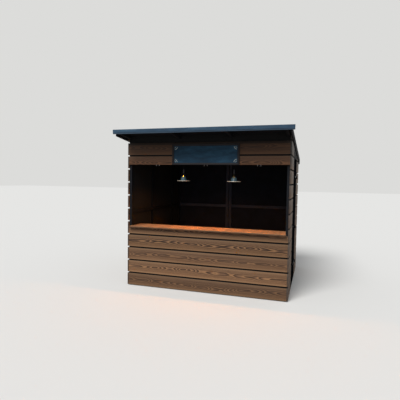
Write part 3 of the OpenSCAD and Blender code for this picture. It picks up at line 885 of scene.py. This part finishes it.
def lay_felt():
    """Sheets of felt across the roof, and the fold of the first one over the fascia.

    Each sheet but the last starts its own thickness lower and climbs where the next one begins."""
    low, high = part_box("roof_felt")
    verge_x = -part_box("left_verge_board")[0].x
    fascia_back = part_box("front_fascia")[1].y
    fall = fall_of("roof_deck")
    sheet_run = (high.y - low.y) / FELT_SHEETS

    def at(y, lowered=0.0):
        """A point on the outer face of the felt, or lowered under it."""
        return y, high.z - fall * (y - low.y) - FELT_INSET - lowered

    sheets = []
    for i in range(FELT_SHEETS):
        start = low.y + (i * sheet_run if i else FELT_CORNER)
        next_start = low.y + (i + 1) * sheet_run
        path = [at(start), at(high.y)]
        if i < FELT_SHEETS - 1:
            path = [at(start, FELT_T), at(next_start - FELT_CLIMB, FELT_T), at(next_start),
                    at(next_start + FELT_LAP)]
        sheets.append(folded_sheet("felt_sheet", -verge_x, verge_x, path, FELT_T))
    bend_y, bend_z = at(low.y + FELT_CORNER, FELT_T)
    bend = [(bend_y - FELT_CORNER * math.sin(a), bend_z - FELT_CORNER * (1 - math.cos(a)))
            for a in (math.radians(degrees) for degrees in (0, 30, 60, 90))]
    fold = [at(fascia_back, FELT_T)] + bend + [(low.y, foot_of_fold())]
    front = folded_sheet("felt_fold", low.x, high.x, fold[::-1], FELT_T)
    piece = joined(sheets + [front], "felt_sheets")
    dress(smooth(piece), "hut", felt, ["roof_felt"])


def hang_door():
    """Door of upright planks on eased ledges, with its straps, their screws and their pins."""
    low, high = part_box("door_leaf")
    leaf = planks("door_planks", low, high, 1, DOOR_PLANK_COUNT, DOOR_JOINT, DOOR_EASE)
    dress(smooth(leaf), "door", door_stain, ["door_leaf"])
    ledges = round_edges(merged_copy("door_ledges", "door_ledges_eased"), LEDGE_EASE)
    dress(smooth(ledges), "door", ledge_stain, ["door_ledges"])
    for node, body in (("hinge_straps", "door"), ("hinge_pins", "hut")):
        piece = round_edges(merged_copy(node, node + "_eased"), IRON_EASE)
        dress(smooth(piece), body, iron, [node])
    head = turn(screw_head("strap_screw"), math.pi / 2, "Z", (0, 0, 0))
    heads = []
    for strap_low, strap_high in solids("hinge_straps"):
        for share in STRAP_SCREWS:
            place = strap_low.lerp(strap_high, share)
            place.x = high.x + STRAP_T + SCREW_PROUD
            place.z = (strap_low.z + strap_high.z) / 2
            heads.append(copy_of(head, "strap_screw", place))
    bpy.data.objects.remove(head)
    dress(smooth(joined(heads, "strap_screws")), "door", iron)


def cut_mitre(strip, corner, normal):
    """Cuts off what lies beyond a plane through a corner of the frame."""
    activate(strip)
    bpy.ops.object.mode_set(mode="EDIT")
    bpy.ops.mesh.select_all(action="SELECT")
    bpy.ops.mesh.bisect(plane_co=corner, plane_no=normal, use_fill=True, clear_outer=True)
    bpy.ops.object.mode_set(mode="OBJECT")


def make_sign_frame():
    """Four strips round the blackboard, mitred at the corners."""
    low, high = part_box("sign_frame")
    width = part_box("sign_panel")[0].x - low.x
    strips = []
    for across, outer in ((0, low), (0, high), (2, low), (2, high)):
        inward = 1 if outer is low else -1
        strip_low, strip_high = low.copy(), high.copy()
        inner_side = strip_high if outer is low else strip_low
        inner_side[across] = outer[across] + inward * width
        strip = bar("strip", strip_low, strip_high)
        for end, to_middle in ((low, 1), (high, -1)):
            corner, normal = end.copy(), Vector((0, 0, 0))
            corner[across] = outer[across]
            normal[across] = inward
            normal[2 - across] = -to_middle
            cut_mitre(strip, corner, normal)
        strips.append(round_edges(strip, SIGN_EASE))
    dress(smooth(joined(strips, "sign_frame_mitred")), "hut", sign_stain, ["sign_frame"])


def draw_chalk_corners():
    """Plain strokes of chalk round the corners of the blackboard."""
    low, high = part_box("sign_panel")
    marks = []
    turns = ((low.x, low.z, 0), (low.x, high.z, 270), (high.x, low.z, 90), (high.x, high.z, 180))
    for x, z, quarter in turns:
        start = quarter + CHALK_MARGIN_DEGREES
        end = quarter + 90 - CHALK_MARGIN_DEGREES
        for radius, width in CHALK_STROKES:
            marks.append(arc_mark("stroke", (x, low.y, z), radius, width, start, end, CHALK_T))
    dress(joined(marks, "chalk_corner_strokes"), "hut", chalk)


def press_shade(side, centre):
    """A pressed shade with brim, crease and dome, enamelled grey outside and cream inside and on its rim.

    Gives back the heights of the rim's foot and of the crown."""
    low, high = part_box(side + "_lamp_shade")
    rim = (high.x - low.x) / 2 - SHADE_BEAD
    rim_z = low.z + SHADE_BEAD
    brim_z = low.z + SHADE_BRIM
    crown = high.z - SHADE_INSET
    crease = SHADE_DOME / 6
    outer = [(rim, rim_z), (SHADE_DOME + 2.5 * crease, brim_z - crease * 0.8),
             (SHADE_DOME + crease, brim_z - crease * 0.4), (SHADE_DOME + crease * 0.2, brim_z + crease * 0.2)]
    outer += [(HOLDER + (SHADE_DOME - HOLDER) * math.cos(a), brim_z + (crown - brim_z) * math.sin(a))
              for a in (math.radians(degrees) for degrees in range(10, 91, 10))]
    inner = [(radius - SHADE_SHEET, height - SHADE_SHEET) for radius, height in outer]
    shade = turned(side + "_shade_outer", centre, outer, 48)
    inside = turned(side + "_shade_inner", centre, inner, 48)
    inside.data.flip_normals()
    clear_selection()
    bpy.ops.mesh.primitive_torus_add(location=centre + Vector((0, 0, rim_z)), major_segments=48,
                                     minor_segments=8, major_radius=rim, minor_radius=SHADE_BEAD)
    bead = bpy.context.object
    bpy.ops.object.transform_apply(location=True, rotation=True, scale=True)
    bead.name = side + "_shade_rim"
    dress(smooth(shade, 60), "hut", enamel, [side + "_lamp_shade"])
    dress(smooth(inside, 60), "hut", white_enamel)
    dress(smooth(bead, 60), "hut", white_enamel)
    return low.z, crown


def fit_bulb(side, centre, rim_low, crown):
    """A round bulb on a neck that reaches up to the crown of the shade."""
    middle = rim_low + BULB_OVER_RIM + BULB
    profile = [(BULB_TIP, middle - BULB)]
    profile += [(BULB * math.sin(a), middle - BULB * math.cos(a))
                for a in (math.radians(degrees) for degrees in range(30, 141, 20))]
    profile += [(BULB_SOCKET, middle + BULB * 1.15), (BULB_SOCKET, crown - BULB_UNDER_CROWN)]
    glass = turned(side + "_bulb", centre, profile, 24, closed_end=True)
    dress(smooth(glass, 60), "hut", bulb_glass)


def hang_fitting(side, centre):
    """Holder with a rolled foot and a groove round it, pipe, stem, and rose under the rafter."""
    low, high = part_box(side + "_lamp_fitting")
    neck_foot = low.z + HOLDER_LENGTH
    neck_top = neck_foot + PIPE_LENGTH
    rolled = HOLDER * 1.18
    grooved = HOLDER * 0.94
    # Rolled foot, wall, groove and wall again, as radius and height over the foot
    over_foot = [(HOLDER * 0.6, HOLDER_LIFT), (rolled, HOLDER_LIFT), (rolled, 0.004), (HOLDER, 0.006),
                 (HOLDER, 0.016), (grooved, 0.018), (grooved, 0.022), (HOLDER, 0.024)]
    profile = [(radius, low.z + height) for radius, height in over_foot]
    profile += [(HOLDER, neck_foot - 0.012), (HOLDER * 0.82, neck_foot - 0.004), (PIPE, neck_foot)]
    holder = turned(side + "_lamp_holder", centre, profile, 32, closed_start=True)
    dress(smooth(holder, 50), "hut", phenolic, [side + "_lamp_fitting"])
    profile = [(PIPE, neck_foot), (PIPE, neck_top - 0.004), (PIPE * 0.7, neck_top), (STEM, neck_top)]
    pipe = turned(side + "_lamp_pipe", centre, profile, 24)
    dress(smooth(pipe, 50), "hut", grey_pipe)
    rose = (high.x - low.x) / 2 * 0.72
    profile = [(STEM, neck_top), (STEM, high.z - ROSE), (rose, high.z - ROSE)]
    stem = turned(side + "_lamp_stem", centre, profile, 16)
    dress(smooth(stem, 50), "hut", phenolic)


def hang_lamps():
    """The two pendant lamps, each shade with its bulb and its fitting."""
    for side in ("left", "right"):
        low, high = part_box(side + "_lamp_shade")
        centre = Vector(((low.x + high.x) / 2, (low.y + high.y) / 2, 0))
        rim_low, crown = press_shade(side, centre)
        fit_bulb(side, centre, rim_low, crown)
        hang_fitting(side, centre)


def screw_in_hooks():
    """Zinc hooks at the head of the opening, each with the round collar that it is screwed up to."""
    parts = [merged_copy("opening_hooks", "hooks")]
    for low, high in solids("opening_hooks"):
        middle = Vector(((low.x + high.x) / 2, high.y - (high.x - low.x) / 2, 0))
        profile = [(HOOK_SHANK, high.z - HOOK_COLLAR_T), (HOOK_COLLAR * 0.6, high.z - HOOK_COLLAR_T * 0.9),
                   (HOOK_COLLAR, high.z - HOOK_COLLAR_T * 0.4), (HOOK_COLLAR, high.z - HOOK_COLLAR_T * 0.05)]
        parts.append(turned("collar", middle, profile, 16, closed_end=True))
    hooks = joined(parts, "hooks_with_collars")
    dress(smooth(hooks, 50), "hut", zinc, ["opening_hooks"])


def finish_nodes():
    """Materials for the frame nodes that keep their own shape."""
    kept = {
        "front_lower_lining": lining, "front_upper_lining": lining, "left_lining": lining,
        "right_front_lining": lining, "right_rear_lining": lining, "rear_lining": rear_membrane_painted_light,
        "sign_panel": chalkboard, "door_knob": iron,
    }
    for node, material in kept.items():
        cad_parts[node].material_slots[0].material = material


def lay_pale_floor():
    """Floor that looks pale to the camera and throws back only as much light as paving does."""
    clear_selection()
    bpy.ops.mesh.primitive_plane_add(size=120, location=(0, 0, 0))
    floor = bpy.context.object
    floor.name = "floor"
    material, tree = new_material("pale_floor")
    path = add(tree, "LightPath")
    pale = add(tree, "BsdfDiffuse", {"Color": linear("#dddcd9")})
    paving = add(tree, "BsdfDiffuse", {"Color": linear("#8e8c88")})
    both = add(tree, "MixShader", links={0: path.outputs["Is Camera Ray"], 1: paving, 2: pale})
    add(tree, "OutputMaterial", links={"Surface": both})
    floor.data.materials.append(material)


def light_hut():
    """One high soft key light from the front, and a dim cool sky that looks pale behind the hut."""
    sun = bpy.data.lights.new("soft_key", "SUN")
    sun.energy = 2.9
    sun.angle = math.radians(30)
    lamp = bpy.data.objects.new("soft_key", sun)
    bpy.context.scene.collection.objects.link(lamp)
    lamp.rotation_euler = (math.radians(40), 0, math.radians(-16))
    world = bpy.data.worlds.new("surround")
    bpy.context.scene.world = world
    world.use_nodes = True
    tree = world.node_tree
    tree.nodes.clear()
    path = add(tree, "LightPath").outputs
    seen = add(tree, "Math", {"operation": "MAXIMUM"},
               {0: path["Is Camera Ray"], 1: path["Is Glossy Ray"]})
    seen = add(tree, "Math", {"operation": "MAXIMUM"}, {0: seen, 1: path["Is Transmission Ray"]})
    soft = add(tree, "Background", {"Color": linear("#eef1f5"), "Strength": 0.45})
    backdrop = add(tree, "Background", {"Color": linear("#dcdcda"), "Strength": 1.0})
    both = add(tree, "MixShader", links={0: seen, 1: soft, 2: backdrop})
    add(tree, "OutputWorld", links={"Surface": both})


def aim_camera():
    """The camera at the photograph's place and angle."""
    data = bpy.data.cameras.new("photo_view")
    data.lens = CAMERA_LENS
    data.sensor_width = SENSOR_WIDTH
    data.clip_end = 500
    camera = bpy.data.objects.new("photo_view", data)
    bpy.context.scene.collection.objects.link(camera)
    camera.matrix_world = (
        Matrix.Translation(CAMERA_PLACE) @ Matrix.Rotation(CAMERA_YAW, 4, "Z")
        @ Matrix.Rotation(math.pi / 2 + CAMERA_PITCH, 4, "X") @ Matrix.Rotation(CAMERA_ROLL, 4, "Z")
    )
    bpy.context.scene.camera = camera
    bpy.context.scene.view_settings.view_transform = "Standard"


aim_camera()
lay_pale_floor()
light_hut()
clad_walls()
ease_timbers()
lay_floor_planks()
lay_roof_planks()
lay_felt()
hang_door()
make_sign_frame()
draw_chalk_corners()
hang_lamps()
screw_in_hooks()
finish_nodes()
